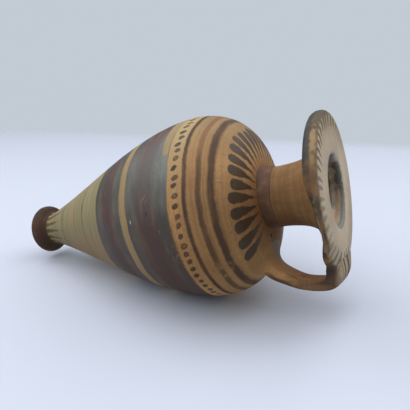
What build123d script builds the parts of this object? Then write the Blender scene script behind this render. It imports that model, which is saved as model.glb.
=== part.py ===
"""A small pear-shaped oil flask of fired clay, with a disc mouth, a strap handle and a little foot.

Millimetres. The vessel's axis is Z, the foot stands on Z = 0 and the handle is on the +Y side.
The potter made six pieces and luted five seams with slip (wet clay), so each piece and each seam
of slip is a solid of its own, and the pieces meet on the slip, face to face. The mouth disc was set
a little askew: it dips towards the handle.
"""
import os
from math import cos, radians, sin, tan

from build123d import *

# The wet clay in every joint
slip = 0.5  # its thickness
slip_bead = 0.9  # what is squeezed out of a joint and wiped smooth

# Foot, a small flaring knob
foot_radius = 9.4
foot_height = 7.5
foot_edge = 1.5  # rounding of the edge that stands on the ground
foot_land = 0.7  # width of the top edge around the dish
foot_ring = 2.6  # width of the ring that touches the ground
foot_hollow = 1.2  # depth of the hollow inside that ring
dish_depth = 2.6  # how deep the point of the body sits in the foot

# Body, thrown in one piece
tip_radius = 4.8  # radius of the point that sits in the foot
stem_radius = 6.5  # radius where the body leaves the foot
belly_radius = 30.0
belly_level = 77.5  # from the ground to the widest place
shoulder_height = 19.3  # from there up to the flat where the neck stands
body_wall = 3.4
body_floor = 12.0  # depth of solid clay above the point
cone_angle = 18.0  # flare of the body just above the foot, from upright
cone_reach = 23.4  # how far that flare runs before it rounds into the belly
belly_round = 19.4  # how far below the belly its upright stretch begins
shoulder_rise = 7.0  # how far above the belly the shoulder starts to turn in
shoulder_run = 17.0  # how far the shoulder stays nearly flat outside the neck

# Neck, a short tube that opens into the mouth
neck_height = 21.7  # from the flat of the shoulder to the top of the mouth
neck_radius = 9.5
neck_bore = 6.2  # radius of the straight bore
neck_top_radius = 12.2
neck_flare = 9.0  # length of the stretch that widens towards the mouth
spigot_wall = 1.7
spigot_depth = 3.4  # how far the neck reaches down into the shoulder

# Collar, a low band of clay over the seam of neck and shoulder
collar_height = 3.3
collar_relief = 0.5
collar_edge = 0.3

# Mouth disc
disc_radius = 23.8
disc_thickness = 4.6
disc_lean = 1.7  # degrees that it dips towards the handle
disc_edge = 2.2  # rounding of its rim below
disc_brow = 2.2  # rounding of its rim above
mouth_radius = 11.0
mouth_lip = 1.0  # rounding of the hole's edge
mouth_throat = 2.4  # depth of the straight wall in the hole
funnel_depth = 10.0  # how far down the mouth narrows to the bore

# Handle, a strap from the shoulder to the rim of the disc
strap_width = 11.5
strap_thickness = 3.6
strap_round = 1.5  # rounding of its long edges
strap_lean = 31.0  # how it leans out from upright as it leaves the shoulder
strap_knee = 7.0  # how far above the flat of the shoulder it turns upright
strap_bend = 4.5  # radius of the strap's middle where it turns in to the disc
handle_reach = 6.1  # how far it stands out past the rim of the disc

# Levels and radii that follow from the sizes above
shoulder_level = belly_level + shoulder_height
height = shoulder_level + neck_height
tip_level = foot_height - dish_depth
seat_radius = neck_radius + collar_relief
spigot_radius = neck_bore + spigot_wall
opening_radius = spigot_radius + slip
neck_level = shoulder_level + slip
disc_level = height - disc_thickness
neck_top = height - disc_thickness / 2
rim_level = height - disc_radius * sin(radians(disc_lean)) - strap_thickness / 2
root_level = (belly_level + shoulder_level) / 2


def turned(*edges):
    """A solid turned on the wheel: its outline, in radius and height, spun about the axis."""
    outline = make_face(edges)
    return revolve(Plane.XZ * outline, Axis.Z)


def ring(inner, outer, low, high):
    """A plain ring between two radii and two levels."""
    return turned(*Polyline((inner, low), (outer, low), (outer, high), (inner, high), close=True).edges())


def body_form(skin=0.0):
    """The body's outer form without its hollow, grown outwards by a skin."""
    flare = radians(cone_angle)
    stem = (stem_radius + skin, foot_height)
    cone = (stem[0] + cone_reach * sin(flare), foot_height + cone_reach * cos(flare))
    belly = (belly_radius + skin, belly_level)
    shoulder = (seat_radius, shoulder_level + skin)
    return turned(
        Line((0, tip_level), (tip_radius + skin, tip_level)),
        Line((tip_radius + skin, tip_level), stem),
        Bezier(stem, cone, (belly[0], belly_level - belly_round), belly),
        Bezier(belly, (belly[0], belly_level + shoulder_rise),
               (seat_radius + shoulder_run, shoulder[1]), shoulder),
        Line(shoulder, (0, shoulder[1])),
        Line((0, shoulder[1]), (0, tip_level)),
    )


def body_hollow():
    """The space inside the body, pointed below and open into the neck above."""
    floor = tip_level + body_floor
    belly = (belly_radius - body_wall, belly_level)
    roof = shoulder_level - body_wall
    return turned(
        Bezier((0, floor), (stem_radius + body_wall / 2, floor + body_wall / 2),
               (belly[0], belly_level - belly_round), belly),
        Bezier(belly, (belly[0], belly_level + shoulder_rise),
               (opening_radius + shoulder_run, roof), (opening_radius, roof)),
        Line((opening_radius, roof), (opening_radius, shoulder_level)),
        Line((opening_radius, shoulder_level), (0, shoulder_level)),
        Line((0, shoulder_level), (0, floor)),
    )


def foot_form():
    """The foot: hollow below, a rounded edge, a swelling flank and a dish on top for the body."""
    top_radius = stem_radius + slip + foot_land
    ring_radius = foot_radius - foot_edge
    hollow_radius = ring_radius - foot_ring
    edge_middle = (foot_radius - foot_edge * (1 - sin(radians(45))),
                   foot_edge * (1 - cos(radians(45))))
    flank = (foot_radius, foot_edge)
    return turned(
        Line((0, foot_hollow), (hollow_radius, 0)),
        Line((hollow_radius, 0), (ring_radius, 0)),
        ThreePointArc((ring_radius, 0), edge_middle, flank),
        Bezier(flank, (foot_radius, foot_height / 2), (top_radius, foot_height)),
        Line((top_radius, foot_height), (stem_radius + slip, foot_height)),
        Line((stem_radius + slip, foot_height), (tip_radius + slip, tip_level - slip)),
        Line((tip_radius + slip, tip_level - slip), (0, tip_level - slip)),
        Line((0, tip_level - slip), (0, foot_hollow)),
    )


def mouth_funnel():
    """The space inside the mouth: the top of the straight bore, a funnel and the hole's straight wall."""
    start = height - funnel_depth
    throat = height - mouth_throat
    middle = (start + throat) / 2
    clear = height + disc_thickness
    return turned(
        Bezier((neck_bore, start), (neck_bore, middle), (mouth_radius, middle), (mouth_radius, throat)),
        Line((mouth_radius, throat), (mouth_radius, clear)),
        Line((mouth_radius, clear), (0, clear)),
        Line((0, clear), (0, start)),
        Line((0, start), (neck_bore, start)),
    )


def disc_form(skin=0.0):
    """The mouth disc without its hole, a leaning plate with a round rim, grown outwards by a skin."""
    plate = ring(0, disc_radius + skin, -disc_thickness - skin, skin)
    plate = fillet(plate.edges().filter_by(GeomType.CIRCLE).sort_by(Axis.Z)[0], disc_edge + skin)
    plate = fillet(plate.edges().filter_by(GeomType.CIRCLE).sort_by(Axis.Z)[-1], disc_brow + skin)
    return Pos(0, 0, height) * Rot(-disc_lean, 0, 0) * plate


def neck_form():
    """The neck's outer form: a spigot, a straight stretch and a flare that runs on into the disc."""
    spigot_level = shoulder_level - spigot_depth
    flare_level = disc_level - neck_flare
    return turned(
        Line((0, spigot_level), (spigot_radius, spigot_level)),
        Line((spigot_radius, spigot_level), (spigot_radius, neck_level)),
        Line((spigot_radius, neck_level), (neck_radius, neck_level)),
        Line((neck_radius, neck_level), (neck_radius, flare_level)),
        Bezier((neck_radius, flare_level), (neck_radius, disc_level - neck_flare / 3),
               (neck_top_radius, disc_level)),
        Line((neck_top_radius, disc_level), (neck_top_radius, neck_top)),
        Line((neck_top_radius, neck_top), (0, neck_top)),
        Line((0, neck_top), (0, spigot_level)),
    )


def strap_form(bead=0.0):
    """The whole strap before its ends are cut to fit, grown by a bead: a bowed run, a bend and a tail in the disc."""
    upright = disc_radius + handle_reach - strap_thickness / 2
    knee = (upright, shoulder_level + strap_knee)
    bend_start = (upright, rim_level - strap_bend)
    root = (upright - (knee[1] - root_level) * tan(radians(strap_lean)), root_level)
    run = Bezier(root, knee, knee, bend_start)
    bend = JernArc(bend_start, (0, 1), strap_bend, 90)
    tail = Line(bend @ 1, ((neck_top_radius + disc_radius) / 2, rim_level))
    path = Plane.YZ * (run + bend + tail)
    start = Plane(origin=path @ 0, x_dir=(1, 0, 0), z_dir=path % 0)
    section = RectangleRounded(strap_width + 2 * bead, strap_thickness + 2 * bead, strap_round + bead)
    return sweep(start * section, path=path)


# The pieces that the potter made
body_solid = body_form()
disc_solid = disc_form()
funnel = mouth_funnel()
bore = ring(0, neck_bore, shoulder_level - spigot_depth, height - funnel_depth)
foot = foot_form()
body = body_solid - body_hollow()
disc_skin = disc_form(slip)
neck = neck_form() - disc_skin - bore - funnel
mouth_disc = disc_solid - funnel
mouth_top = mouth_disc.faces().filter_by(GeomType.PLANE).sort_by(Axis.Z)[-1]
mouth_disc = fillet(mouth_top.inner_wires()[0].edges(), mouth_lip)

# The band that covers the seam of neck and shoulder
collar = ring(neck_radius, seat_radius, shoulder_level, shoulder_level + collar_height)
collar_rims = collar.edges().filter_by(GeomType.CIRCLE).group_by(Axis.Z)[-1].sort_by(SortBy.RADIUS)[-1]
collar = fillet(collar_rims, collar_edge)

# The strap, with each end cut to the clay that it is stuck to
strap = strap_form()
body_skin = body_form(slip)
handle = strap - body_skin - disc_skin

# The slip in the seams
bead_radius = stem_radius + slip
foot_slip = turned(*Polyline(
    (0, tip_level - slip), (tip_radius + slip, tip_level - slip), (bead_radius, foot_height),
    (bead_radius, foot_height + slip_bead / 2), (stem_radius, foot_height + slip_bead),
    (0, foot_height + slip_bead), close=True).edges()) - body_solid
neck_slip = (ring(spigot_radius, neck_radius, shoulder_level, neck_level)
             + ring(spigot_radius, opening_radius, shoulder_level - spigot_depth, shoulder_level))
neck_bead = ring(0, neck_top_radius + slip_bead, disc_level - neck_flare, neck_top)
mouth_slip = (neck_bead & disc_skin) - disc_solid - funnel
root_slip = (strap_form(slip_bead) & body_skin) - body_solid
rim_slip = (strap & disc_skin) - disc_solid

pieces = {
    "foot": foot,
    "foot_slip": foot_slip,
    "body": body,
    "neck": neck,
    "neck_slip": neck_slip,
    "neck_collar": collar,
    "mouth_disc": mouth_disc,
    "mouth_slip": mouth_slip,
    "handle": handle,
    "handle_root_slip": root_slip,
    "handle_rim_slip": rim_slip,
}

os.makedirs("parts", exist_ok=True)
for name, piece in pieces.items():
    export_step(piece, f"parts/{name}.step")
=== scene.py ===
# A small painted oil flask of fired clay that lies on its side on a pale table.
# The vessel's own frame is upright, so here the table is tilted to it and not the vessel to the table.
import math

import bmesh
import bpy
from mathutils import Matrix, Vector, noise
from mathutils.geometry import interpolate_bezier


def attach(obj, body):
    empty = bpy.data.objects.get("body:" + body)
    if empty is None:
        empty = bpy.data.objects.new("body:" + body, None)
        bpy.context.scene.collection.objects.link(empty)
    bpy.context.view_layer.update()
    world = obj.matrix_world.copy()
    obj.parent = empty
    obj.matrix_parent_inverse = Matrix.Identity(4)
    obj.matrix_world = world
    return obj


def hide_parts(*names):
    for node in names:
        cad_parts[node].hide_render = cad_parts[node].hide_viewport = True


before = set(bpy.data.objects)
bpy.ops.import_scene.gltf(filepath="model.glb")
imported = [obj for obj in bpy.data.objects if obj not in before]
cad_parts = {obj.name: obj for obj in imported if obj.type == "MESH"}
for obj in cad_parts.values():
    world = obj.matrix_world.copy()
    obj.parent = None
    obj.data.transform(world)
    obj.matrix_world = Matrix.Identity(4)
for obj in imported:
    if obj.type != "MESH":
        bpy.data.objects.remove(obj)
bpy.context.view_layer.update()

# Body
# Fine orange earthenware, thrown on the wheel in one hollow piece: pointed below, with a round belly
# and a shoulder that opens into the neck. The bands were painted in thin clay slip while it turned,
# and the dots, tongues and rays were set with a brush. The slip fired dark and has since worn.
MM = 0.001
stem_radius = 6.5
stem_level = 7.5
belly_radius = 30.0
belly_level = 77.5
hollow_radius = 26.6
seat_radius = 10.0
opening_radius = 8.4
shoulder_level = 96.8
roof_level = 93.4


def curve(start, first, second, end, count):
    """Points along a thrown curve, in radius and height, in millimetres."""
    points = interpolate_bezier(*[Vector((r, 0, z)) for r, z in (start, first, second, end)], count)
    return [(point.x, point.z) for point in points]


def turned(outline, steps):
    """A form spun about the vessel's axis from an outline of radius and height, in millimetres."""
    shape = bmesh.new()
    ring = [shape.verts.new((r * MM, 0, z * MM)) for r, z in outline]
    edges = [shape.edges.new(pair) for pair in zip(ring, ring[1:])]
    bmesh.ops.spin(shape, geom=ring + edges, cent=(0, 0, 0), axis=(0, 0, 1), angle=2 * math.pi,
                   steps=steps, use_merge=True)
    bmesh.ops.remove_doubles(shape, verts=shape.verts, dist=0.02 * MM)
    bmesh.ops.recalc_face_normals(shape, faces=shape.faces)
    return shape


def finger_marks(shape, ridge, sway):
    """Turning ridges and a slight unroundness, pressed into the clay by so many millimetres."""
    ridge_spacing = 2.4 * MM
    swell_size = 24 * MM
    for vert in shape.verts:
        radius = math.hypot(vert.co.x, vert.co.y)
        if radius < MM:
            continue
        rings = noise.noise(Vector((3.7, 1.2, vert.co.z / ridge_spacing)))
        swell = noise.noise(vert.co / swell_size)
        depth = ridge * (0.5 + 0.5 * rings) + sway * (0.5 + 0.5 * swell)
        vert.co.x *= 1 - depth * MM / radius
        vert.co.y *= 1 - depth * MM / radius


def piece(name, shape, *nodes):
    """The finished object of a form. It rides on the vessel and stands for the solids named."""
    mesh = bpy.data.meshes.new(name)
    shape.to_mesh(mesh)
    shape.free()
    mesh.shade_smooth()
    made = bpy.data.objects.new(name, mesh)
    bpy.context.scene.collection.objects.link(made)
    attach(made, "root")
    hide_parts(*nodes)
    return made


belly_outside = curve((stem_radius, stem_level), (13.73, 29.75), (belly_radius, 58.1),
                      (belly_radius, belly_level), 90)
shoulder_outside = curve((belly_radius, belly_level), (belly_radius, 84.5), (27.0, shoulder_level),
                         (seat_radius, shoulder_level), 48)
shoulder_inside = curve((opening_radius, roof_level), (25.4, roof_level), (hollow_radius, 84.5),
                        (hollow_radius, belly_level), 16)
belly_inside = curve((hollow_radius, belly_level), (hollow_radius, 58.1), (8.2, 18.6), (0.0, 16.9), 24)
body_outline = [(0.0, 4.9), (4.8, 4.9), (6.1, 5.0), (6.25, 5.6), (6.35, 6.5)]
body_outline += belly_outside
body_outline += shoulder_outside[1:]
body_outline += [(opening_radius, shoulder_level)]
body_outline += shoulder_inside
body_outline += belly_inside[1:]
body_form = turned(body_outline, steps=192)
finger_marks(body_form, ridge=0.10, sway=0.16)
body = piece("body_thrown", body_form, "body")


def linear(code):
    """A colour socket's value for an sRGB hex code."""
    parts = [int(code[i:i + 2], 16) / 255 for i in (0, 2, 4)]
    parts = [part / 12.92 if part <= 0.04045 else ((part + 0.055) / 1.055) ** 2.4 for part in parts]
    return (*parts, 1.0)


def add(tree, kind, feeds=None, stops=None, **settings):
    """One shader node with its settings. A feed is a plain value, a socket, or a node's first output."""
    made = tree.nodes.new("ShaderNode" + kind)
    for name, value in settings.items():
        setattr(made, name, value)
    for socket, source in (feeds or {}).items():
        if isinstance(source, bpy.types.Node):
            source = next(output for output in source.outputs if output.enabled)
        if isinstance(source, bpy.types.NodeSocket):
            tree.links.new(source, made.inputs[socket])
        else:
            made.inputs[socket].default_value = source
    for position, colour in stops or []:
        stop = made.color_ramp.elements.new(position)
        stop.color = colour
    if stops:
        made.color_ramp.elements.remove(made.color_ramp.elements[0])
        made.color_ramp.elements.remove(made.color_ramp.elements[-1])
    return made


class FiredClay:
    """Low-fired earthenware, wiped while wet: dull, faintly streaked round the axis, gritty and stained.

    Lengths are in millimetres. A MapRange node reads from its feed 1 to its feed 2 and gives its feed 3
    to its feed 4, which are 0 and 1 where they aren't named.
    """

    stain_size = 20
    streak_spacing = 0.8
    grit_size = 0.6  # real grit is finer, and is drawn this coarse so that it shows
    ior = 1.40

    def __init__(self, name, pale, deep):
        self.material = bpy.data.materials.new(name)
        self.material.use_nodes = True
        tree = self.tree = self.material.node_tree
        self.shader = tree.nodes["Principled BSDF"]
        place = add(tree, "TexCoord").outputs["Object"]
        self.place = add(tree, "VectorMath", {0: place, 1: (1000, 1000, 1000)}, operation="MULTIPLY")
        self.x, self.y, self.height = add(tree, "SeparateXYZ", {0: self.place}).outputs
        flat = add(tree, "VectorMath", {0: self.place, 1: (1, 1, 0)}, operation="MULTIPLY")
        self.radius = add(tree, "VectorMath", {0: flat}, operation="LENGTH")
        self.angle = add(tree, "Math", {0: self.y, 1: self.x}, operation="ARCTAN2")
        stain_scale = 1 / self.stain_size
        stain = add(tree, "TexNoise", {"Vector": self.place, "Scale": stain_scale, "Detail": 4.0})
        stain = add(tree, "MapRange", {0: stain, 1: 0.36, 2: 0.64})
        self.streak = self.grain((0.05, 0.05, 1 / self.streak_spacing), 3.0)
        grit_scale = 1 / self.grit_size
        self.grit = add(tree, "TexNoise", {"Vector": self.place, "Scale": grit_scale, "Detail": 2.0})
        colour = add(tree, "Mix", {0: stain, 6: linear(deep), 7: linear(pale)}, data_type="RGBA")
        rub = add(tree, "MapRange", {0: self.streak, 1: 0.3, 2: 0.7, 3: 0.84, 4: 1.12})
        colour = add(tree, "VectorMath", {0: colour, 1: rub}, operation="MULTIPLY")
        fleck = add(tree, "MapRange", {0: self.grit, 1: 0.3, 2: 0.7, 3: 0.86, 4: 1.1})
        self.colour = add(tree, "VectorMath", {0: colour, 1: fleck}, operation="MULTIPLY")
        self.roughness = add(tree, "MapRange", {0: self.grit, 1: 0.3, 2: 0.7, 3: 0.72, 4: 0.9})
        self.relief = add(tree, "Math", {0: self.streak, 1: self.grit}, operation="ADD")

    def grain(self, per_mm, detail, roughness=0.5):
        """Uneven streaks or specks, so many to the millimetre along each axis."""
        drawn = add(self.tree, "VectorMath", {0: self.place, 1: per_mm}, operation="MULTIPLY")
        return add(self.tree, "TexNoise", {"Vector": drawn, "Scale": 1.0, "Detail": detail,
                                           "Roughness": roughness})

    def spot(self, middle, reach, core, most=1.0, fray=0.0, frayed_by=None, shape=(1, 1, 1), place=None):
        """A spot: nothing beyond its reach and the most within its core, frayed and squeezed as asked."""
        away = add(self.tree, "VectorMath", {0: place or self.place, 1: middle}, operation="SUBTRACT")
        away = add(self.tree, "VectorMath", {0: away, 1: shape}, operation="MULTIPLY")
        away = add(self.tree, "VectorMath", {0: away}, operation="LENGTH")
        if frayed_by:
            away = add(self.tree, "Math", {0: frayed_by, 1: fray, 2: away}, operation="MULTIPLY_ADD")
        return add(self.tree, "MapRange", {0: away, 1: reach, 2: core, 4: most})

    def paint(self, cover, colour, roughness, *limits):
        """Lays a coat of slip paint over what is there, where the cover and each of its limits are 1."""
        for limit in limits:
            cover = add(self.tree, "Math", {0: cover, 1: limit}, operation="MULTIPLY")
        self.colour = add(self.tree, "Mix", {0: cover, 6: self.colour, 7: colour}, data_type="RGBA")
        self.roughness = add(self.tree, "Mix", {0: cover, 2: self.roughness, 3: roughness})

    def dress(self, made, depth):
        """Joins the layers to the shader, with a relief so deep in millimetres, and covers a piece."""
        tree = self.tree
        bump = add(tree, "Bump", {"Height": self.relief, "Strength": 0.6, "Distance": depth * MM})
        colour = next(output for output in self.colour.outputs if output.enabled)
        rough = next(output for output in self.roughness.outputs if output.enabled)
        tree.links.new(colour, self.shader.inputs["Base Color"])
        tree.links.new(rough, self.shader.inputs["Roughness"])
        tree.links.new(bump.outputs[0], self.shader.inputs["Normal"])
        self.shader.inputs["IOR"].default_value = self.ior
        made.data.materials.clear()
        made.data.materials.append(self.material)


# painted earthenware: dull orange clay under dark slip, which has a soft gloss where it is thin
clay = FiredClay("painted_earthenware", "c49560", "a97849")
tree = clay.tree

# the clay is creamier towards the foot, where it was less fired, with pinkish and brown streaks; the pink
# is stronger towards the handle, as painted bounce light on the side that faces the table
cream = add(tree, "MapRange", {0: clay.height, 1: 74.0, 2: 50.0})
cream_colour = add(tree, "Mix", {0: clay.streak, 6: linear("7a6c48"), 7: linear("a69a75")},
                   data_type="RGBA")
clay.colour = add(tree, "Mix", {0: cream, 6: clay.colour, 7: cream_colour}, data_type="RGBA")
pink_streaks_and_painted_bounce_light = clay.grain((0.05, 0.05, 0.35), 3.0)
# painted bounce light: more pink towards the handle, on the side that faces the table
by_side = add(tree, "MapRange", {0: clay.y, 1: 0.0, 2: 12.0, 4: 0.3})
pink_streaks_and_painted_bounce_light = add(tree, "Math", {0: pink_streaks_and_painted_bounce_light, 1: by_side}, operation="ADD")
pink_streaks_and_painted_bounce_light = add(tree, "MapRange", {0: pink_streaks_and_painted_bounce_light, 1: 0.52, 2: 0.72, 4: 0.55})
clay.paint(pink_streaks_and_painted_bounce_light, linear("a88469"), 0.8, cream)

# beside the neck it is warmer. Painted shade darkens the shoulder, most of all far from the handle,
# except for a lit strip a little away from it, and painted light lifts it again towards the strap
warm = add(tree, "MapRange", {0: clay.radius, 1: 16.0, 2: 11.0, 4: 0.6})
on_top = add(tree, "Math", {0: clay.height, 1: 93.0}, operation="GREATER_THAN")
by_side = add(tree, "MapRange", {0: clay.y, 1: 13.0, 2: 7.0})
clay.paint(warm, linear("a9713c"), 0.8, on_top, by_side)
# painted shade and painted light on the shoulder, following how the light falls on it
shoulder_painted_shade = add(tree, "MapRange", {0: clay.y, 1: -12.0, 2: -1.0, 3: 0.98, 4: 0.68})
deeper_painted_shade = add(tree, "MapRange", {0: clay.y, 1: -28.0, 2: -12.0, 3: 0.42, 4: 1.0})
painted_light_by_strap = add(tree, "MapRange", {0: clay.y, 1: 3.0, 2: 14.0, 3: 1.0, 4: 1.2})
for tone in (deeper_painted_shade, painted_light_by_strap):
    shoulder_painted_shade = add(tree, "Math", {0: shoulder_painted_shade, 1: tone}, operation="MULTIPLY")
on_shoulder = add(tree, "MapRange", {0: clay.height, 1: 80.0, 2: 84.0})
shoulder_painted_shade = add(tree, "Mix", {0: on_shoulder, 2: 1.0, 3: shoulder_painted_shade})
clay.colour = add(tree, "VectorMath", {0: clay.colour, 1: shoulder_painted_shade}, operation="MULTIPLY")

# behind the dots the skin is wiped pale, and below them it is streaky where the slip has come off
from_wedge = add(tree, "MapRange", {0: clay.height, 1: 70.0, 2: 72.0})
wiped = add(tree, "MapRange", {0: clay.height, 1: 83.0, 2: 81.0, 3: 0.4, 4: 1.0})
by_side = add(tree, "MapRange", {0: clay.y, 1: 0.0, 2: -22.0, 4: 0.75})
clay.paint(wiped, linear("ad9a70"), 0.8, by_side, from_wedge)
stripped = add(tree, "MapRange", {0: clay.height, 1: 77.0, 2: 76.4, 4: 0.75})
stripped_colour = add(tree, "Mix", {0: clay.streak, 6: linear("85673f"), 7: linear("b5a07a")},
                      data_type="RGBA")
clay.paint(stripped, stripped_colour, 0.85, from_wedge)

# the brush wavered by half a millimetre round the vessel, and its hairs left an edge 0.2 mm wide
sway = clay.grain((0.06, 0.06, 0.0), 2.0)
hairs = clay.grain((0.7, 0.7, 0.35), 3.0)
waver = add(tree, "Math", {0: sway, 1: -0.5}, operation="ADD")
waver = add(tree, "Math", {0: waver, 1: 1.6, 2: clay.height}, operation="MULTIPLY_ADD")
fine_waver = add(tree, "Math", {0: hairs, 1: -0.5}, operation="ADD")
level = add(tree, "Math", {0: fine_waver, 1: 0.5, 2: waver}, operation="MULTIPLY_ADD")
ramp_height = 100.0
level_share = add(tree, "Math", {0: level, 1: ramp_height}, operation="DIVIDE")


def band_stops(bands, soft):
    """Ramp stops over the ramp's height for painted bands, each from a level to a level at a strength."""
    stops = []
    for low, high, strength in bands:
        full = (strength, strength, strength, 1)
        none = (0, 0, 0, 1)
        stops += [((low - soft) / ramp_height, none), ((low + soft) / ramp_height, full)]
        stops += [((high - soft) / ramp_height, full), ((high + soft) / ramp_height, none)]
    return stops


main_bands = [(43.75, 57.3, 0.97), (60.25, 77.05, 0.97), (81.85, 83.1, 0.95), (85.65, 87.2, 0.82),
              (88.75, 90.6, 0.93)]
bands = add(tree, "ValToRGB", {0: level_share}, stops=band_stops(main_bands, 0.18))
faint_lines = [(17.0, 19.6, 0.3), (29.6, 30.0, 0.3), (31.6, 32.0, 0.45), (33.6, 34.2, 0.6),
               (76.9, 77.2, 0.8), (84.5, 84.8, 0.35), (87.9, 88.1, 0.4)]
lines = add(tree, "ValToRGB", {0: level_share}, stops=band_stops(faint_lines, 0.14))
skip = add(tree, "MapRange", {0: sway, 1: 0.42, 2: 0.56, 3: 0.35, 4: 1.0})

# worn places: thin all over in streaks, rubbed through at a few spots, and flaked off in a wedge below
# the dots
thin = clay.grain((0.10, 0.10, 0.4), 4.0, 0.55)
scuff = clay.grain((0.5, 0.5, 0.3), 6.0, 0.7)
rubbed = add(tree, "MapRange", {0: scuff, 1: 0.66, 2: 0.76, 4: 0.8})
rubbed_spots = [((20.6, 18.6, 87.0), 5.0, 0.47), ((27.5, 12.0, 76.9), 4.0, 0.52),
                ((-20.0, 12.0, 66.0), 7.0, 0.48), ((-12.0, -27.0, 78.0), 8.0, 0.46)]
for middle, reach, least in rubbed_spots:
    near = clay.spot(middle, reach, core=reach * 0.4, most=0.92)
    broken = add(tree, "MapRange", {0: scuff, 1: least, 2: least + 0.14})
    worn = add(tree, "Math", {0: near, 1: broken}, operation="MULTIPLY")
    rubbed = add(tree, "Math", {0: rubbed, 1: worn}, operation="MAXIMUM")
wedge = add(tree, "Math", {0: clay.y, 1: -0.13, 2: level}, operation="MULTIPLY_ADD")
wedge = add(tree, "MapRange", {0: wedge, 1: 76.5, 2: 77.1})
wedge_end = add(tree, "Math", {0: fine_waver, 1: 1.6, 2: clay.y}, operation="MULTIPLY_ADD")
wedge_end = add(tree, "MapRange", {0: wedge_end, 1: -16.2, 2: -16.9, 4: 0.88})
wedge_back = add(tree, "MapRange", {0: clay.x, 1: 2.0, 2: 8.0})
below_dots = add(tree, "Math", {0: clay.height, 1: 79.0}, operation="LESS_THAN")
for limit in (wedge_end, wedge_back, below_dots):
    wedge = add(tree, "Math", {0: wedge, 1: limit}, operation="MULTIPLY")
rubbed = add(tree, "Math", {0: rubbed, 1: wedge}, operation="MAXIMUM")
left = add(tree, "Math", {0: 1.0, 1: rubbed}, operation="SUBTRACT")

# the slip fired dark: dull maroon where it is thick, glossier grey-green towards the edges of the wide
# bands, redder towards the handle, and darkened there by painted shade on the side that faces the table
thick_middles = [(47.6, 53.6, 1.0), (65.0, 72.2, 1.0)]
maroon = add(tree, "ValToRGB", {0: level_share}, stops=band_stops(thick_middles, 1.4))
mottle = add(tree, "MapRange", {0: thin, 1: 0.36, 2: 0.58, 3: 0.45})
maroon = add(tree, "Math", {0: maroon, 1: mottle}, operation="MULTIPLY")
upper = add(tree, "MapRange", {0: clay.height, 1: 80.0, 2: 82.0})
slip_colour = add(tree, "Mix", {0: upper, 6: linear("433d34"), 7: linear("432d1f")}, data_type="RGBA")
slip_colour = add(tree, "Mix", {0: maroon, 6: slip_colour, 7: linear("4e302d")}, data_type="RGBA")
shade = add(tree, "MapRange", {0: thin, 1: 0.3, 2: 0.7, 3: 0.84, 4: 1.24})
# painted shade on the side that faces the table
painted_shade_underside = add(tree, "MapRange", {0: clay.y, 1: -4.0, 2: 18.0, 3: 1.08, 4: 0.76})
for tone in (shade, painted_shade_underside):
    slip_colour = add(tree, "VectorMath", {0: slip_colour, 1: tone}, operation="MULTIPLY")
redder = add(tree, "MapRange", {0: clay.y, 1: 2.0, 2: 20.0, 4: 0.75})
slip_colour = add(tree, "Mix", {0: redder, 6: slip_colour, 7: linear("452a1f")}, data_type="RGBA")


def apart(tree, value, level):
    """How far a value lies from a level, above it or below."""
    gap = add(tree, "Math", {0: value, 1: level}, operation="SUBTRACT")
    return add(tree, "Math", {0: gap}, operation="ABSOLUTE")


# the middle one of the three narrow bands has bleached to rust on the side away from the handle
middle_band = 86.4
on_middle = apart(tree, level, middle_band)
on_middle = add(tree, "Math", {0: on_middle, 1: 1.4}, operation="LESS_THAN")
bleached = add(tree, "Math", {0: fine_waver, 1: 6.0, 2: clay.y}, operation="MULTIPLY_ADD")
bleached = add(tree, "MapRange", {0: bleached, 1: -13.0, 2: -17.0, 4: 0.85})
bleached = add(tree, "Math", {0: bleached, 1: on_middle}, operation="MULTIPLY")
slip_colour = add(tree, "Mix", {0: bleached, 6: slip_colour, 7: linear("83593a")}, data_type="RGBA")
gloss = add(tree, "MapRange", {0: maroon, 3: 0.38, 4: 0.56})
gloss = add(tree, "Math", {0: upper, 1: 0.28, 2: gloss}, operation="MULTIPLY_ADD")
clay.paint(lines, linear("5d452c"), 0.75, skip)
faded = add(tree, "MapRange", {0: thin, 1: 0.5, 2: 0.75, 3: 1.0, 4: 0.8})
band_cover = add(tree, "Math", {0: bands, 1: left}, operation="MULTIPLY")
band_cover = add(tree, "Math", {0: band_cover, 1: faded}, operation="MULTIPLY")
clay.paint(band_cover, slip_colour, gloss)

# a painted sheen: a patchy pale grey highlight on the slip, mostly on the grey-green
painted_sheen = clay.spot((26.2, -12.8, 73.0), reach=17.0, core=2.0, shape=(1.0, 1.0, 0.6))
painted_sheen_patches = add(tree, "MapRange", {0: thin, 1: 0.36, 2: 0.62, 3: 0.5, 4: 0.9})
lower = add(tree, "Math", {0: 1.0, 1: upper}, operation="SUBTRACT")
off_maroon = add(tree, "MapRange", {0: maroon, 3: 1.0, 4: 0.5})
clay.paint(painted_sheen, linear("7d7f78"), 0.45, painted_sheen_patches, band_cover, lower, off_maroon)


def ring_of_marks(tree, turn, count, start):
    """A ring of brush marks: which mark a place is in, its three chances, and how far across it is."""
    turns = add(tree, "Math", {0: turn, 1: count / (2 * math.pi), 2: start}, operation="MULTIPLY_ADD")
    which = add(tree, "Math", {0: turns}, operation="FLOOR")
    luck = add(tree, "TexWhiteNoise", {"W": which}, noise_dimensions="1D").outputs["Color"]
    chances = add(tree, "SeparateXYZ", {0: luck}).outputs
    across = add(tree, "Math", {0: turns}, operation="FRACT")
    return which, chances, across


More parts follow.
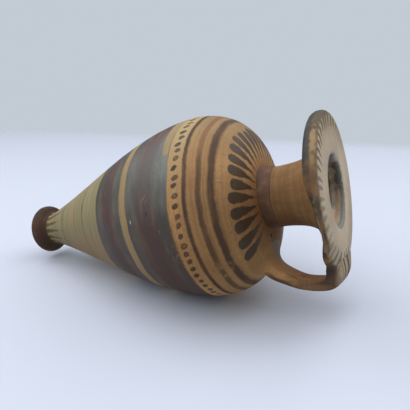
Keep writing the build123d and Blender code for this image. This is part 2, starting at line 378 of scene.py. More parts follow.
# dots round the belly, each set down by hand: about 2 mm across, some with a pale middle
dot_count = 66
dot_spacing = 2.84
dot_row = 79.15
dot_half_width = 0.84
dot_half_height = 0.95
_, chances, across = ring_of_marks(tree, clay.angle, dot_count, start=200.0)
across = add(tree, "Math", {0: across, 1: -0.38}, operation="ADD")
across = add(tree, "Math", {0: chances["X"], 1: -0.24, 2: across}, operation="MULTIPLY_ADD")
across = add(tree, "Math", {0: across, 1: dot_spacing}, operation="MULTIPLY")
row = add(tree, "Math", {0: chances["Y"], 1: 0.7, 2: dot_row}, operation="MULTIPLY_ADD")
above = add(tree, "Math", {0: clay.height, 1: row}, operation="SUBTRACT")
slant = add(tree, "Math", {0: above, 1: 0.3, 2: across}, operation="MULTIPLY_ADD")
spread = add(tree, "CombineXYZ", {0: slant, 1: above})
dot_shape = (1 / dot_half_width, 1 / dot_half_height, 0)
spread = add(tree, "VectorMath", {0: spread, 1: dot_shape}, operation="MULTIPLY")
spread = add(tree, "VectorMath", {0: spread}, operation="LENGTH")
ragged = add(tree, "Math", {0: fine_waver, 1: 1.3, 2: spread}, operation="MULTIPLY_ADD")
dots = add(tree, "MapRange", {0: ragged, 1: 1.18, 2: 0.84})
hollow = add(tree, "MapRange", {0: ragged, 1: 0.5, 2: 0.2, 4: 0.4})
pale_one = add(tree, "Math", {0: chances["Z"], 1: 0.75}, operation="GREATER_THAN")
hollow = add(tree, "Math", {0: hollow, 1: pale_one}, operation="MULTIPLY")
dots = add(tree, "Math", {0: dots, 1: hollow}, operation="SUBTRACT")
strength = add(tree, "MapRange", {0: chances["Y"], 3: 0.97, 4: 0.75})
clay.paint(dots, linear("35261b"), 0.6, strength)

# tongues hang from the neck over the shoulder: 10 mm long, round outside and pointed inside, set wider
# apart towards the handle and left out under it
tongue_count = 32
tongue_start = 11.4
tongue_end = 22.2
handle_tongue = 107.0
tongues_left_out = 2.5
tongue_outline = [(0.0, 0.03), (0.2, 0.2), (0.42, 0.46), (0.62, 0.78), (0.78, 0.97), (0.87, 1.0),
                  (0.94, 0.9), (0.98, 0.62), (1.0, 0.0)]
shifted = add(tree, "Math", {0: clay.angle, 1: math.radians(7)}, operation="ADD")
shifted = add(tree, "Math", {0: shifted}, operation="COSINE")
shifted = add(tree, "Math", {0: shifted, 1: 0.19, 2: clay.angle}, operation="MULTIPLY_ADD")
which, chances, across = ring_of_marks(tree, shifted, tongue_count, start=99.9)
across = add(tree, "Math", {0: chances["X"], 1: 0.12, 2: across}, operation="MULTIPLY_ADD")
across = apart(tree, across, 0.56)
for length in (clay.radius, 2 * math.pi / tongue_count):
    across = add(tree, "Math", {0: across, 1: length}, operation="MULTIPLY")
tip = add(tree, "Math", {0: chances["Y"], 1: 1.4, 2: tongue_end}, operation="MULTIPLY_ADD")
out = add(tree, "MapRange", {0: clay.radius, 1: tongue_start, 2: tip})
drop = add(tree, "FloatCurve", {1: out})
for spot, wide in tongue_outline[1:-1]:
    drop.mapping.curves[0].points.new(spot, wide)
drop.mapping.curves[0].points[0].location = tongue_outline[0]
drop.mapping.curves[0].points[-1].location = tongue_outline[-1]
for point in drop.mapping.curves[0].points:
    point.handle_type = "VECTOR"
drop.mapping.update()
wide = add(tree, "Math", {0: chances["Z"], 1: 0.3, 2: 1.6}, operation="MULTIPLY_ADD")
inside = add(tree, "Math", {0: drop, 1: wide}, operation="MULTIPLY")
inside = add(tree, "Math", {0: fine_waver, 1: 1.1, 2: inside}, operation="MULTIPLY_ADD")
inside = add(tree, "Math", {0: inside, 1: across}, operation="SUBTRACT")
tongues = add(tree, "MapRange", {0: inside, 1: -0.12, 2: 0.22})
above_band = add(tree, "Math", {0: clay.height, 1: 91.3}, operation="GREATER_THAN")
clear = apart(tree, which, handle_tongue)
clear = add(tree, "Math", {0: clear, 1: tongues_left_out}, operation="GREATER_THAN")
tongue_colour = add(tree, "Mix", {0: out, 6: linear("462e1d"), 7: linear("3f3122")}, data_type="RGBA")
tongue_colour = add(tree, "VectorMath", {0: tongue_colour, 1: shade}, operation="MULTIPLY")
clay.paint(tongues, tongue_colour, 0.5, above_band, clear, left, 0.94)

# faint rays stand on the foot, drawn with the tip of the brush
ray_count = 16
ray_foot = 7.0
ray_end = 18.0
_, chances, across = ring_of_marks(tree, clay.angle, ray_count, start=100.2)
across = apart(tree, across, 0.5)
for length in (clay.radius, 2 * math.pi / ray_count):
    across = add(tree, "Math", {0: across, 1: length}, operation="MULTIPLY")
tip = add(tree, "Math", {0: chances["X"], 1: 6.0, 2: ray_end}, operation="MULTIPLY_ADD")
ray = add(tree, "MapRange", {0: clay.height, 1: tip, 2: ray_foot, 3: -0.15, 4: 0.75})
ray = add(tree, "Math", {0: fine_waver, 1: 1.3, 2: ray}, operation="MULTIPLY_ADD")
ray = add(tree, "Math", {0: ray, 1: across}, operation="SUBTRACT")
rays = add(tree, "MapRange", {0: ray, 1: -0.2, 2: 0.25, 4: 0.85})
low_down = add(tree, "Math", {0: clay.height, 1: 24.0}, operation="LESS_THAN")
clay.paint(rays, linear("574225"), 0.7, low_down)

# two pinkish scratches, a dark gouge beside them, a white sliver where the slip flaked off, a dark dash
# and a pit beside the neck
for middle, turn, long, wide, code in (
        ((28.4, -4.8, 68.2), 46, 2.0, 0.32, "86685b"), ((28.5, -4.0, 69.3), 46, 1.1, 0.24, "7d6056"),
        ((29.0, -0.5, 69.0), 15, 1.0, 0.28, "2f2426"), ((27.4, 1.3, 61.8), 0, 0.7, 0.25, "c9c2b4"),
        ((15.6, -5.9, 33.6), 0, 2.2, 0.35, "55493a")):
    level_mark = add(tree, "VectorRotate", {"Vector": clay.place, "Center": middle,
                                            "Angle": math.radians(turn)}, rotation_type="X_AXIS")
    mark = clay.spot(middle, reach=1.1, core=0.6, most=0.85, fray=0.9, frayed_by=fine_waver,
                     shape=(0.3, 1 / long, 1 / wide), place=level_mark)
    clay.paint(mark, linear(code), 0.8)
pit = clay.spot((2.7, 11.7, 96.7), reach=0.75, core=0.4, most=0.9)
clay.paint(pit, linear("1c1410"), 0.9)
clay.dress(body, depth=0.12)

# Foot
# A small knob turned separately, hollow underneath, with a dish for the body's point. The slip that holds
# it is wiped into a hollow curve round the stem. It was dipped in dark paint, which is rubbed at the edge
# and sooty on the side away from the handle.
foot_radius = 9.4
foot_outline = [(0.0, 1.2), (5.2, 0.05), (5.5, 0.0), (7.6, 0.0), (8.4, 0.18), (9.0, 0.6), (9.36, 1.25),
                (foot_radius, 1.7)]
foot_outline += curve((foot_radius, 1.7), (foot_radius, 3.0), (8.8, 4.0), (7.5, 4.5), 10)[1:]
foot_outline += curve((7.5, 4.5), (7.0, 4.7), (6.6, 5.1), (6.4, 5.8), 7)[1:]
foot_outline += [(5.9, 5.6), (4.9, 4.7), (0.0, 4.7)]
foot_form = turned(foot_outline, steps=96)
finger_marks(foot_form, ridge=0.06, sway=0.30)
foot = piece("foot_turned", foot_form, "foot", "foot_slip")
# earthenware dipped in dark paint: dull brown-black, with warm clay where it is rubbed
knob = FiredClay("dark_dipped_earthenware", "84603d", "6b482c")
tree = knob.tree
rub_size = 3.5
edge = add(tree, "MapRange", {0: knob.radius, 1: 8.9, 2: foot_radius, 4: 0.10})
rub = add(tree, "TexNoise", {"Vector": knob.place, "Scale": 1 / rub_size, "Detail": 5.0,
                             "Roughness": 0.6})
rub = add(tree, "Math", {0: rub, 1: edge}, operation="ADD")
cover = add(tree, "MapRange", {0: rub, 1: 0.82, 2: 0.56, 3: 0.35})
off_sole = add(tree, "MapRange", {0: knob.height, 1: 0.1, 2: 0.7})
dark = add(tree, "Mix", {0: knob.streak, 6: linear("33221a"), 7: linear("5a3f2b")}, data_type="RGBA")
sooty = add(tree, "MapRange", {0: knob.y, 1: -3.5, 2: -8.5, 3: 1.0, 4: 0.55})
dark = add(tree, "VectorMath", {0: dark, 1: sooty}, operation="MULTIPLY")
knob.paint(cover, dark, 0.75, off_sole)
knob.dress(foot, depth=0.10)

# Neck
# A short tube of the same clay, plain outside, stuck into the shoulder and opened out by the fingers
# into the mouth plate, so that tube, slip and plate run together. Inside it is darker.
bore_radius = 6.2
spigot_radius = 7.9
neck_radius = 9.5
flare_start = 104.0
flare_end = 113.5
plate_lean = 1.7
plate_slope = math.tan(math.radians(plate_lean))
neck_outline = [(bore_radius, roof_level), (spigot_radius, roof_level), (spigot_radius, 97.3),
                (neck_radius, 97.3), (neck_radius, 99.4)]
neck_outline += curve((9.62, 100.4), (9.7, 106.5), (10.2, 113.4), (15.2, 114.1), 24)
neck_outline += [(10.3, 114.1)]
neck_outline += curve((10.3, 114.1), (9.2, 112.3), (bore_radius, 112.3), (bore_radius, 108.5), 12)[1:]
neck_outline += [(bore_radius, roof_level)]
neck_form = turned(neck_outline, steps=128)
finger_marks(neck_form, ridge=0.08, sway=0.12)


def part_way(value, start, end):
    """How far a value has come from a start to an end, from 0 to 1."""
    return min(1.0, max(0.0, (value - start) / (end - start)))


for vert in neck_form.verts:
    vert.co.z -= plate_slope * vert.co.y * part_way(vert.co.z / MM, flare_start, flare_end)
neck = piece("neck_tube", neck_form, "neck", "mouth_slip")
# bare wiped earthenware: dull brown, scraped in faint upright streaks
tube = FiredClay("wiped_earthenware", "9b764a", "7b5633")
tree = tube.tree
scraped = tube.grain((0.7, 0.7, 0.06), 3.0)
scraped = add(tree, "MapRange", {0: scraped, 1: 0.46, 2: 0.66, 4: 0.3})
tube.paint(scraped, linear("6c4a2a"), 0.8)
# the inside of the bore is darker
darker_inside = add(tree, "MapRange", {0: tube.radius, 1: spigot_radius, 2: 7.0})
tube.paint(darker_inside, linear("4d473d"), 0.6)
tube.dress(neck, depth=0.14)

# Collar
# A low band of clay laid over the seam of neck and shoulder and painted dark red-brown. Its edges are
# uneven, because it was pressed on with the thumb, and its foot spreads out on one side.
collar_inside = 9.3
collar_outline = [(collar_inside, 96.5), (11.5, 96.62), (10.95, 96.95), (10.4, 97.35), (10.08, 97.9),
                  (9.95, 98.6), (9.88, 99.4), (9.78, 100.1), (9.55, 100.6), (collar_inside, 100.7),
                  (collar_inside, 96.5)]
collar_form = turned(collar_outline, steps=128)
spread_side = math.radians(45)
thumb_size = 5 * MM
thumb_depth = 0.4 * MM
for vert in collar_form.verts:
    radius = math.hypot(vert.co.x, vert.co.y) / MM
    spread = max(0.0, math.cos(math.atan2(vert.co.y, vert.co.x) + spread_side))
    reach = seat_radius - 0.35 * max(0.0, vert.co.y / MM / radius)
    squeezed = max(0.0, radius - reach) * (1 - spread ** 4)
    vert.co.x *= 1 - squeezed / radius
    vert.co.y *= 1 - squeezed / radius
    vert.co.z += thumb_depth * noise.noise(vert.co / thumb_size) * max(0.0, 11.0 - radius)
collar = piece("collar_band", collar_form, "neck_collar", "neck_slip")
# slip paint on clay: blotchy dark red-brown, a little less dull than bare clay
band = FiredClay("red_brown_slip_paint", "a0774b", "88602f")
tree = band.tree
blotch_size = 3
blotch = add(tree, "TexNoise", {"Vector": band.place, "Scale": 1 / blotch_size, "Detail": 4.0})
dark = add(tree, "Mix", {0: blotch, 6: linear("412a1e"), 7: linear("77543c")}, data_type="RGBA")
cover = add(tree, "MapRange", {0: blotch, 1: 0.72, 2: 0.5, 3: 0.55, 4: 0.96})
band.paint(cover, dark, 0.65)
band.dress(collar, depth=0.12)

# Mouth plate
# A thick round plate luted on top of the neck, a little askew so that it dips towards the handle, with a
# hole that narrows like a funnel. Pale face, brush ticks over the edge, dark paint below and inside. Its
# rim has lost much of its lower edge beside the handle, and the face sinks there.
plate_top = 118.5
plate_bottom = 113.9
plate_thick = 4.6
plate_radius = 23.8
hole_radius = 11.0
plate_outline = [(10.1, plate_bottom)]
plate_outline += curve((10.1, plate_bottom), (10.7, 114.9), (hole_radius, 115.6),
                       (hole_radius, 116.6), 5)[1:]
plate_outline += curve((hole_radius, 117.4), (hole_radius, 118.1), (11.4, plate_top),
                       (12.1, plate_top), 7)
plate_outline += [(14.0, 118.46), (17.0, 118.42), (19.5, 118.46), (21.5, plate_top)]
plate_outline += curve((21.5, plate_top), (22.9, plate_top), (23.7, 117.9),
                       (plate_radius, 116.8), 10)[1:]
plate_outline += curve((plate_radius, 116.1), (plate_radius, 114.9), (22.8, 114.0),
                       (21.4, plate_bottom), 9)
plate_outline += [(18.0, plate_bottom), (14.0, plate_bottom), (10.1, plate_bottom)]
plate_form = turned(plate_outline, steps=192)


def bell(turn, middle, half):
    """1 at the middle of a stretch of the rim, sinking smoothly to 0 half a stretch away, in degrees."""
    return math.cos(math.pi / 2 * min(1.0, abs(turn - middle) / half)) ** 2


lost_middle = 30.0
lost_half = 46.0
lost_slope = 0.31
sunk_middle = 64
sunk_half = 30
sunk_from = 18.5
sunk_slope = 0.5
lip_reach = 14
lip_aside = 0.9 * MM
lip_down = 0.45 * MM
nicked_from = 20
nick_size = 2.6 * MM
nick_depth = 0.9
for vert in plate_form.verts:
    radius = math.hypot(vert.co.x, vert.co.y) / MM
    turn = math.degrees(math.atan2(vert.co.y, vert.co.x))
    lost = bell(turn, lost_middle, lost_half)
    rim_left = 1.2 + 0.5 * noise.noise(vert.co / (3 * MM))
    floor = plate_top - rim_left - (23.0 - radius) * lost_slope
    if radius > lip_reach and vert.co.z < floor * MM:
        vert.co.z += (floor * MM - vert.co.z) * lost
    if radius > sunk_from and vert.co.z > plate_bottom * MM:
        sunk = sunk_slope * MM * (radius - sunk_from) * bell(turn, sunk_middle, sunk_half)
        vert.co.z -= sunk * (vert.co.z / MM - plate_bottom) / plate_thick
    if radius < lip_reach:
        lip = part_way(vert.co.z / MM, 114.5, 117.0) * (lip_reach - radius) / 3
        vert.co.x += lip_aside * lip
        vert.co.y += lip_down * lip * (1 - math.sin(math.radians(turn)))
    if radius > nicked_from:
        nick = noise.noise(vert.co / nick_size) - 0.30
        uneven = 0.10 + 0.10 * noise.noise(vert.co / (9 * MM)) + nick_depth * max(0.0, nick)
        wall = 22.9 + 0.4 * noise.noise(vert.co / (3.5 * MM))
        uneven += min(1.0, 2 * lost) * max(0.0, radius - wall)
        vert.co.x *= 1 - uneven / radius
        vert.co.y *= 1 - uneven / radius
bmesh.ops.rotate(plate_form, verts=plate_form.verts, cent=(0, 0, plate_top * MM),
                 matrix=Matrix.Rotation(math.radians(-plate_lean), 3, "X"))
plate = piece("mouth_plate", plate_form, "mouth_disc")
# pale earthenware, wiped smooth: chalky cream, under dark paint and stains
face = FiredClay("pale_wiped_earthenware", "cdb99f", "b8a388")
tree = face.tree
hair_spacing = 1.6
patch_size = 4
own_height = add(tree, "Math", {0: face.y, 1: plate_slope, 2: face.height}, operation="MULTIPLY_ADD")
hairs = add(tree, "TexNoise", {"Vector": face.place, "Scale": 1 / hair_spacing, "Detail": 3.0})
fine = add(tree, "Math", {0: hairs, 1: -0.5}, operation="ADD")
patch = add(tree, "TexNoise", {"Vector": face.place, "Scale": 1 / patch_size, "Detail": 5.0,
                               "Roughness": 0.6})
edge_height = add(tree, "Math", {0: fine, 1: 1.2, 2: own_height}, operation="MULTIPLY_ADD")
outer = add(tree, "MapRange", {0: face.radius, 1: 15.0, 2: 19.0})
stained = add(tree, "MapRange", {0: face.y, 1: -6.0, 2: -20.0, 4: 0.5})
face.paint(stained, linear("8c7852"), 0.75, outer)

# the outside of the rim is bare clay, dark away from the handle and brown towards it
bare_edge = add(tree, "MapRange", {0: face.radius, 1: 22.9, 2: 23.35})
face.paint(bare_edge, linear("a08259"), 0.8)
wavy_turn = add(tree, "Math", {0: fine, 1: 0.8, 2: face.angle}, operation="MULTIPLY_ADD")
behind = add(tree, "Math", {0: face.angle}, operation="ABSOLUTE")
behind = add(tree, "MapRange", {0: behind, 1: math.radians(176), 2: math.radians(140)})
far_side = add(tree, "MapRange", {0: wavy_turn, 1: math.radians(-38), 2: math.radians(-50), 4: 0.9})
face.paint(far_side, linear("4f4538"), 0.75, bare_edge, behind)
near_side = add(tree, "MapRange", {0: wavy_turn, 1: math.radians(-30), 2: math.radians(-18), 4: 0.85})
brown = add(tree, "Mix", {0: patch, 6: linear("51402f"), 7: linear("92704e")}, data_type="RGBA")
face.paint(near_side, brown, 0.8, bare_edge, behind)

# below it is painted dark grey, and where the edge has broken off raw clay shows
under = add(tree, "MapRange", {0: edge_height, 1: 116.7, 2: 116.2})
kept = add(tree, "MapRange", {0: patch, 1: 0.68, 2: 0.54, 3: 0.6})
grey = add(tree, "Mix", {0: hairs, 6: linear("2b2721"), 7: linear("4d483c")}, data_type="RGBA")
face.paint(under, grey, 0.55, outer, kept)
gone = apart(tree, face.angle, math.radians(lost_middle))
gone = add(tree, "MapRange", {0: gone, 1: math.radians(lost_half + 12), 2: math.radians(lost_half / 2)})
scar = add(tree, "MapRange", {0: patch, 1: 0.36, 2: 0.64})
raw_clay = add(tree, "Mix", {0: scar, 6: linear("3f2f20"), 7: linear("8d6239")}, data_type="RGBA")
side_of_rim = add(tree, "MapRange", {0: edge_height, 1: 118.3, 2: 117.8})
face.paint(gone, raw_clay, 0.85, side_of_rim, outer, 0.9)

# beside the handle the pale skin runs on over the edge, with an ochre spot; the other side is smudged
over_edge = add(tree, "MapRange", {0: face.angle, 1: math.radians(38), 2: math.radians(56)})
low_skin = add(tree, "Math", {0: fine, 1: 2.0, 2: own_height}, operation="MULTIPLY_ADD")
low_skin = add(tree, "MapRange", {0: low_skin, 1: 116.1, 2: 116.6, 4: 0.95})
past_handle = add(tree, "MapRange", {0: face.angle, 1: math.radians(130), 2: math.radians(112)})
face.paint(over_edge, linear("bfab91"), 0.75, low_skin, outer, past_handle)
ochre = face.spot((11.4, 19.4, 115.4), reach=1.8, core=1.0, most=0.85, fray=1.5, frayed_by=fine)
face.paint(ochre, linear("ae8a4a"), 0.8)
smudge = face.spot((4.5, -23.2, 117.4), reach=7.5, core=3.0, most=0.75, fray=6.0, frayed_by=fine)
rim_only = add(tree, "MapRange", {0: face.radius, 1: 21.3, 2: 22.6})
face.paint(smudge, linear("4b4335"), 0.7, rim_only)

# ticks over the edge, set slantwise with a small brush and closer together towards the front. A dark line
# runs round outside them, where the brush was lifted off.
tick_count = 44
tick_start = 18.4
tick_end = 21.4
line_radius = 22.95
slanted = add(tree, "Math", {0: face.radius, 1: 0.008, 2: face.angle}, operation="MULTIPLY_ADD")
shifted = add(tree, "Math", {0: slanted, 1: 2.0, 2: math.radians(20)}, operation="MULTIPLY_ADD")
shifted = add(tree, "Math", {0: shifted}, operation="SINE")
shifted = add(tree, "Math", {0: shifted, 1: 0.12, 2: slanted}, operation="MULTIPLY_ADD")
_, chances, across = ring_of_marks(tree, shifted, tick_count, start=300.0)
across = add(tree, "Math", {0: chances["Y"], 1: 0.2, 2: across}, operation="MULTIPLY_ADD")
across = apart(tree, across, 0.6)
beside_handle = add(tree, "MapRange", {0: face.angle, 1: math.radians(40), 2: math.radians(60), 4: -0.6})
start = add(tree, "Math", {0: chances["X"], 1: 1.3, 2: tick_start}, operation="MULTIPLY_ADD")
start = add(tree, "Math", {0: start, 1: beside_handle}, operation="ADD")
tick = add(tree, "MapRange", {0: face.radius, 1: start, 2: tick_end, 3: 0.12, 4: 0.25})
tick = add(tree, "Math", {0: fine, 1: 0.25, 2: tick}, operation="MULTIPLY_ADD")
tick = add(tree, "Math", {0: tick, 1: across}, operation="SUBTRACT")
ticks = add(tree, "MapRange", {0: tick, 1: -0.06, 2: 0.10, 4: 0.9})
past_start = add(tree, "Math", {0: face.radius, 1: start}, operation="GREATER_THAN")
ticks = add(tree, "Math", {0: ticks, 1: past_start}, operation="MULTIPLY")
edge_line = add(tree, "Math", {0: fine, 1: 0.4, 2: face.radius}, operation="MULTIPLY_ADD")
edge_line = apart(tree, edge_line, line_radius)
edge_line = add(tree, "MapRange", {0: edge_line, 1: 0.42, 2: 0.2, 4: 0.8})
ticks = add(tree, "Math", {0: ticks, 1: edge_line}, operation="MAXIMUM")
on_face = add(tree, "Math", {0: beside_handle, 1: -4.2, 2: edge_height}, operation="MULTIPLY_ADD")
on_face = add(tree, "MapRange", {0: on_face, 1: 117.6, 2: 117.95})
rubbed_off = add(tree, "MapRange", {0: gone, 3: 1.0, 4: 0.55})
in_front = add(tree, "MapRange", {0: face.x, 1: -13.0, 2: -6.0})
face.paint(ticks, linear("57472f"), 0.65, on_face, rubbed_off, in_front)

# inside the hole the paint is grey-green and pinkish, with a rusty streak, a grey lip and a pale chip,
# all painted pale as painted light in the shaded hole, and darker away from the handle as painted shade
hole = face.spot((0.8, 0.7, 0.0), reach=11.55, core=11.2, fray=0.8, frayed_by=fine, shape=(1, 1, 0))
mixed = add(tree, "MapRange", {0: patch, 1: 0.4, 2: 0.6})
# painted light: pale colours stand in for light inside the shaded hole
throat_with_painted_light = add(tree, "Mix", {0: mixed, 6: linear("a5aa9a"), 7: linear("e2cab5")}, data_type="RGBA")
rust = add(tree, "Math", {0: fine, 1: 1.6, 2: own_height}, operation="MULTIPLY_ADD")
rust = apart(tree, rust, 115.95)
rust = add(tree, "MapRange", {0: rust, 1: 0.8, 2: 0.3, 4: 0.8})
# painted shade away from the handle
painted_shade_in_hole = add(tree, "Math", {0: fine, 1: 8.0, 2: face.y}, operation="MULTIPLY_ADD")
painted_shade_in_hole = add(tree, "MapRange", {0: painted_shade_in_hole, 1: 2.0, 2: -2.0, 4: 0.92})
lip = add(tree, "Math", {0: fine, 1: 0.8, 2: own_height}, operation="MULTIPLY_ADD")
lip = add(tree, "MapRange", {0: lip, 1: 116.8, 2: 117.5, 4: 0.9})
chip = face.spot((-4.0, -9.8, 117.4), reach=3.0, core=1.6, most=0.85, fray=5.0, frayed_by=fine)
for cover, code in ((rust, "d2a078"), (painted_shade_in_hole, "67645c"), (lip, "7b796c"), (chip, "c9bfbb")):
    throat_with_painted_light = add(tree, "Mix", {0: cover, 6: throat_with_painted_light, 7: linear(code)}, data_type="RGBA")
face.paint(hole, throat_with_painted_light, 0.55)
face.dress(plate, depth=0.12)

# Handle
# A strap pulled from a lump of clay, thumbed on to the shoulder and bent in to the rim of the plate. Its
# ends spread where they were smeared down with slip. Bare clay with dark brush streaks on its edges, and
# painted shade on the outer face low down.
strap_width = 11.2
strap_thick = 3.5
knee = (27.9, 103.8)
bend_middle = Vector((0, 23.4, 111.7))
bend_outside = 6.45
rim_width = 14.6
rim_aside = -1.6
root_square = 0.7
strap_square = 0.42
run_steps = 40
root_step = 9
bend_steps = 9
bend_start = (bend_middle.y + bend_outside - strap_thick / 2, bend_middle.z)
strap_run = [Vector((0, y, z)) for y, z in curve((17.9, 87.15), knee, knee, bend_start, run_steps + 1)]
stations = []
for step in range(root_step, run_steps + 1, 3):
    heading = (strap_run[min(step + 1, run_steps)] - strap_run[step - 1]).normalized()
    share = (step - root_step) / (run_steps - root_step)
    thicker = 0.8 * max(0.0, 1 - 4 * share)
    slack = 0.6 * math.sin(math.pi * share)
    stations.append((strap_run[step], heading, strap_width - slack + thicker, strap_thick + thicker, 0.0))
for step in range(1, bend_steps + 1):
    share = step / bend_steps
    turn = math.pi / 2 * share
    thick = strap_thick + 2.3 * math.sin(math.pi / 2 * min(1.0, 1.4 * share))
    spot = bend_middle + (bend_outside - thick / 2) * Vector((0, math.cos(turn), math.sin(turn)))
    heading = Vector((0, -math.sin(turn), math.cos(turn)))
    spread = (max(0.0, share - 0.35) / 0.65) ** 1.3
    wide = strap_width + (rim_width - strap_width) * spread
    stations.append((spot, heading, wide, thick, rim_aside * spread))
for y, top, wide, thick in ((20.8, 118.0, 19.2, 4.8), (17.5, 117.7, 20.6, 3.6)):
    stations.append((Vector((0, y, top - thick / 2)), Vector((0, -1, 0)), wide, thick, -2.8))


def shoulder_at(radius):
    """The height of the shoulder's outside at a radius, in millimetres."""
    for (outer, low), (inner, high) in zip(shoulder_outside, shoulder_outside[1:]):
        if inner <= radius <= outer:
            return low + (high - low) * (outer - radius) / (outer - inner)
    return shoulder_level


def squarer(value, power):
    """A coordinate of a circle, pushed out towards a rounded square."""
    return math.copysign(abs(value) ** power, value)


strap_form = bmesh.new()
rings = []
section_sides = 28
smears = ((-1.0, 18.4, 18.4, 13.4), (0.05, 18.7, 16.8, 11.6), (0.35, 19.9, 14.8, 8.4),
          (0.9, 21.2, 12.8, 5.4))
for lift, middle_y, wide, deep in smears:
    made = bmesh.ops.create_circle(strap_form, segments=section_sides, radius=1.0)["verts"]
    for vert in made:
        vert.co.x = squarer(vert.co.x, root_square) * wide / 2
        vert.co.y = squarer(vert.co.y, root_square) * deep / 2 + middle_y
        vert.co.z = shoulder_at(math.hypot(vert.co.x, vert.co.y)) + lift
        vert.co *= MM
    rings.append(made)
for spot, heading, wide, thick, aside in stations:
    made = bmesh.ops.create_circle(strap_form, segments=section_sides, radius=1.0)["verts"]
    for vert in made:
        vert.co.x = squarer(vert.co.x, strap_square) * wide / 2 + aside
        vert.co.y = squarer(vert.co.y, strap_square) * thick / 2
    across = heading.cross(Vector((1, 0, 0)))
    place = Matrix((Vector((1, 0, 0)), across, heading)).transposed().to_4x4()
    place.translation = spot
    bmesh.ops.transform(strap_form, matrix=Matrix.Scale(MM, 4) @ place, verts=made)
    rings.append(made)
strap_form.edges.ensure_lookup_table()
ring_edges = [[edge for edge in strap_form.edges if edge.verts[0] in ring and edge.verts[1] in ring]
              for ring in map(set, rings)]
for lower, upper in zip(ring_edges, ring_edges[1:]):
    bmesh.ops.bridge_loops(strap_form, edges=lower + upper)
bmesh.ops.holes_fill(strap_form, edges=ring_edges[0] + ring_edges[-1], sides=0)
bmesh.ops.recalc_face_normals(strap_form, faces=strap_form.faces)
for vert in strap_form.verts:
    over_rim = part_way(vert.co.y / MM, 26.0, 23.5) * part_way(vert.co.z / MM, 112.5, 117.5)
    vert.co.z -= 0.33 * over_rim * max(0.0, vert.co.x - 1.5 * MM)
    vert.co += vert.normal * 0.18 * MM * noise.noise(vert.co / (4 * MM))
handle = piece("handle_strap", strap_form, "handle", "handle_root_slip", "handle_rim_slip")
smooth = handle.modifiers.new("smeared", "SUBSURF")
smooth.levels = 2
smooth.render_levels = 2
# pulled earthenware: dull, streaked along the strap, darker where a brush was wiped on it
pulled = FiredClay("pulled_earthenware", "a87a4c", "875e38")
tree = pulled.tree
fibre = pulled.grain((1.1, 0.9, 0.12), 4.0)
smear = add(tree, "MapRange", {0: fibre, 1: 0.5, 2: 0.7, 4: 0.8})
pulled.paint(smear, linear("4a3523"), 0.65)
aside = add(tree, "Math", {0: pulled.x}, operation="ABSOLUTE")
sides = add(tree, "MapRange", {0: aside, 1: 3.9, 2: 5.4, 4: 0.6})
pulled.paint(sides, linear("4f3c2c"), 0.65)

# the root is cleaner and warmer, with a grey scuff and a pit on it
root = add(tree, "Math", {0: fibre, 1: 4.0, 2: pulled.height}, operation="MULTIPLY_ADD")
root = add(tree, "MapRange", {0: root, 1: 106.0, 2: 101.0, 4: 0.85})
root_colour = add(tree, "Mix", {0: pulled.grit, 6: linear("a87748"), 7: linear("c89b67")},
                  data_type="RGBA")
pulled.paint(root, root_colour, 0.8)
scuffed = pulled.spot((-3.5, 14.5, 96.3), reach=5.5, core=0.5, most=0.85, fray=-5.0, frayed_by=fibre)
pulled.paint(scuffed, linear("9a8f85"), 0.8)
pit = pulled.spot((0.7, 13.3, 96.6), reach=0.75, core=0.4, most=0.9)
pulled.paint(pit, linear("1c1410"), 0.9)

# painted shade: the outer face, turned down to the table, is darker low down, off the root
strap_out = (0.0, 0.888, -0.461)
strap_line = -23.6
outside = add(tree, "VectorMath", {0: pulled.place, 1: strap_out}, operation="DOT_PRODUCT")
outside = add(tree, "Math", {0: fibre, 1: 1.6, 2: outside}, operation="MULTIPLY_ADD")
outside = add(tree, "MapRange", {0: outside, 1: strap_line + 0.7, 2: strap_line + 1.5, 4: 0.85})
low_down = add(tree, "Math", {0: fibre, 1: 8.0, 2: pulled.height}, operation="MULTIPLY_ADD")
low_down = add(tree, "MapRange", {0: low_down, 1: 110.0, 2: 104.0})
off_root = add(tree, "MapRange", {0: pulled.height, 1: 93.8, 2: 96.0})
pulled.paint(outside, linear("3a281c"), 0.7, low_down, off_root)

# at the rim the plate's ticks and its pale skin run on over the bend, beside a dark patch
ragged_height = add(tree, "Math", {0: fibre, 1: 5.0, 2: pulled.height}, operation="MULTIPLY_ADD")
rim = add(tree, "MapRange", {0: ragged_height, 1: 117.2, 2: 119.0})
streaks = pulled.grain((0.75, 0.03, 0.03), 2.0)
streaks = add(tree, "MapRange", {0: streaks, 1: 0.44, 2: 0.54})
rim_colour = add(tree, "Mix", {0: streaks, 6: linear("4d3d2d"), 7: linear("ab957b")}, data_type="RGBA")
pulled.paint(rim, rim_colour, 0.7)
join = pulled.spot((6.5, 24.0, 113.0), reach=1.2, core=-1.4, most=0.85, fray=-6.0, frayed_by=fibre,
                   shape=(0.7, 0.75, 1.0))
pulled.paint(join, linear("2c221b"), 0.6)
pulled.dress(handle, depth=0.16)

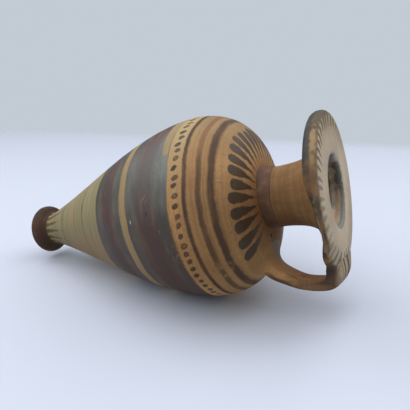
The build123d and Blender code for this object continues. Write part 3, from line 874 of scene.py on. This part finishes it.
# Table
# A plain pale board on which the flask lies on its belly, with the mouth a little raised. Its far edge is
# soft, and from below the board can be seen through, so that the flask shows from every side. It throws
# no scattered light, because so pale a board would light the flask's underside too much.
table_up = Vector((0.2131, -0.9420, 0.2591)).normalized()
camera_place = Vector((143.014, -0.646, 146.376)) * MM
camera_back = Vector((0.891697, 0.0, 0.452632))
table_near = (camera_back - table_up * camera_back.dot(table_up)).normalized()
table_right = table_up.cross(table_near)
table_level = min(vert.co.dot(table_up) for vert in body.data.vertices)
table_reach = 0.47
table_half = 1.0
edge_width = 0.05
edge_turn = Matrix.Rotation(math.radians(-14), 3, table_up)
edge_out = edge_turn @ -table_near
edge_side = edge_turn @ table_right
table_middle = camera_place + table_up * (table_level - camera_place.dot(table_up))
table_form = bmesh.new()
bmesh.ops.create_grid(table_form, x_segments=1, y_segments=1, size=table_half)
table_place = Matrix((edge_side, edge_out, table_up)).transposed().to_4x4()
table_place.translation = table_middle + edge_out * (table_reach - table_half)
bmesh.ops.transform(table_form, matrix=table_place, verts=table_form.verts)
table_mesh = bpy.data.meshes.new("table")
table_form.to_mesh(table_mesh)
table_form.free()
table = bpy.data.objects.new("table", table_mesh)
bpy.context.scene.collection.objects.link(table)
table.visible_diffuse = False
# matt board: bluish white without a shine
board = bpy.data.materials.new("pale_matt_board")
board.use_nodes = True
table_mesh.materials.append(board)
tree = board.node_tree
place = add(tree, "TexCoord").outputs["Object"]
out = add(tree, "VectorMath", {0: place, 1: edge_out}, operation="DOT_PRODUCT")
edge = edge_out.dot(table_middle) + table_reach
fade = add(tree, "MapRange", {0: out, 1: edge, 2: edge - edge_width}, interpolation_type="SMOOTHSTEP")
from_below = add(tree, "NewGeometry").outputs["Backfacing"]
from_above = add(tree, "Math", {0: 1.0, 1: from_below}, operation="SUBTRACT")
seen = add(tree, "Math", {0: fade, 1: from_above}, operation="MULTIPLY")
board_shader = tree.nodes["Principled BSDF"]
tree.links.new(seen.outputs[0], board_shader.inputs["Alpha"])
board_shader.inputs["Base Color"].default_value = linear("cdd1db")
board_shader.inputs["Roughness"].default_value = 0.75

# Light
# Soft daylight from above, as from a wide window of five panes, and a pale wall all round. The wall looks
# a little brighter than the light that it gives.
world = bpy.data.worlds.new("pale_wall")
bpy.context.scene.world = world
world.use_nodes = True
wall = world.node_tree.nodes["Background"]
wall.inputs["Color"].default_value = linear("c2cbd4")
seen_wall = add(world.node_tree, "LightPath").outputs["Is Camera Ray"]
glow = add(world.node_tree, "MapRange", {0: seen_wall, 3: 0.62, 4: 1.0})
world.node_tree.links.new(glow.outputs[0], wall.inputs["Strength"])
middle = Vector((0.0, 0.0, 0.065))
pane_size = 0.45
for name, side, near, up, power in (
        ("pane_front_left", -0.30, 0.25, 0.40, 1.2), ("pane_above", 0.0, 0.0, 0.50, 0.85),
        ("pane_back_left", -0.30, -0.20, 0.40, 0.9), ("pane_back_right", 0.30, -0.20, 0.40, 0.8),
        ("pane_right", 0.40, 0.05, 0.30, 0.5)):
    pane = bpy.data.lights.new(name, "AREA")
    pane.shape = "DISK"
    pane.size = pane_size
    pane.energy = power
    pane.color = linear("f7f9ff")[:3]
    lamp = bpy.data.objects.new(name, pane)
    spot = middle + table_right * side + table_near * near + table_up * up
    turn = (spot - middle).to_track_quat("Z", "Y").to_matrix().to_4x4()
    lamp.matrix_world = Matrix.Translation(spot) @ turn
    bpy.context.scene.collection.objects.link(lamp)

# Camera
# At the photograph's place: beside the belly, a little above it, looking slightly into the mouth.
lens = bpy.data.cameras.new("camera")
lens.lens = 41.28
lens.sensor_width = 36.0
lens.clip_start = 0.01
camera = bpy.data.objects.new("camera", lens)
camera_right = Vector((-0.448086, 0.141375, 0.882741))
camera_up = Vector((-0.063991, -0.989956, 0.126064))
stand = Matrix((camera_right, camera_up, camera_back)).transposed().to_4x4()
stand.translation = camera_place
camera.matrix_world = stand
bpy.context.scene.collection.objects.link(camera)
bpy.context.scene.camera = camera
bpy.context.scene.view_settings.view_transform = "Standard"
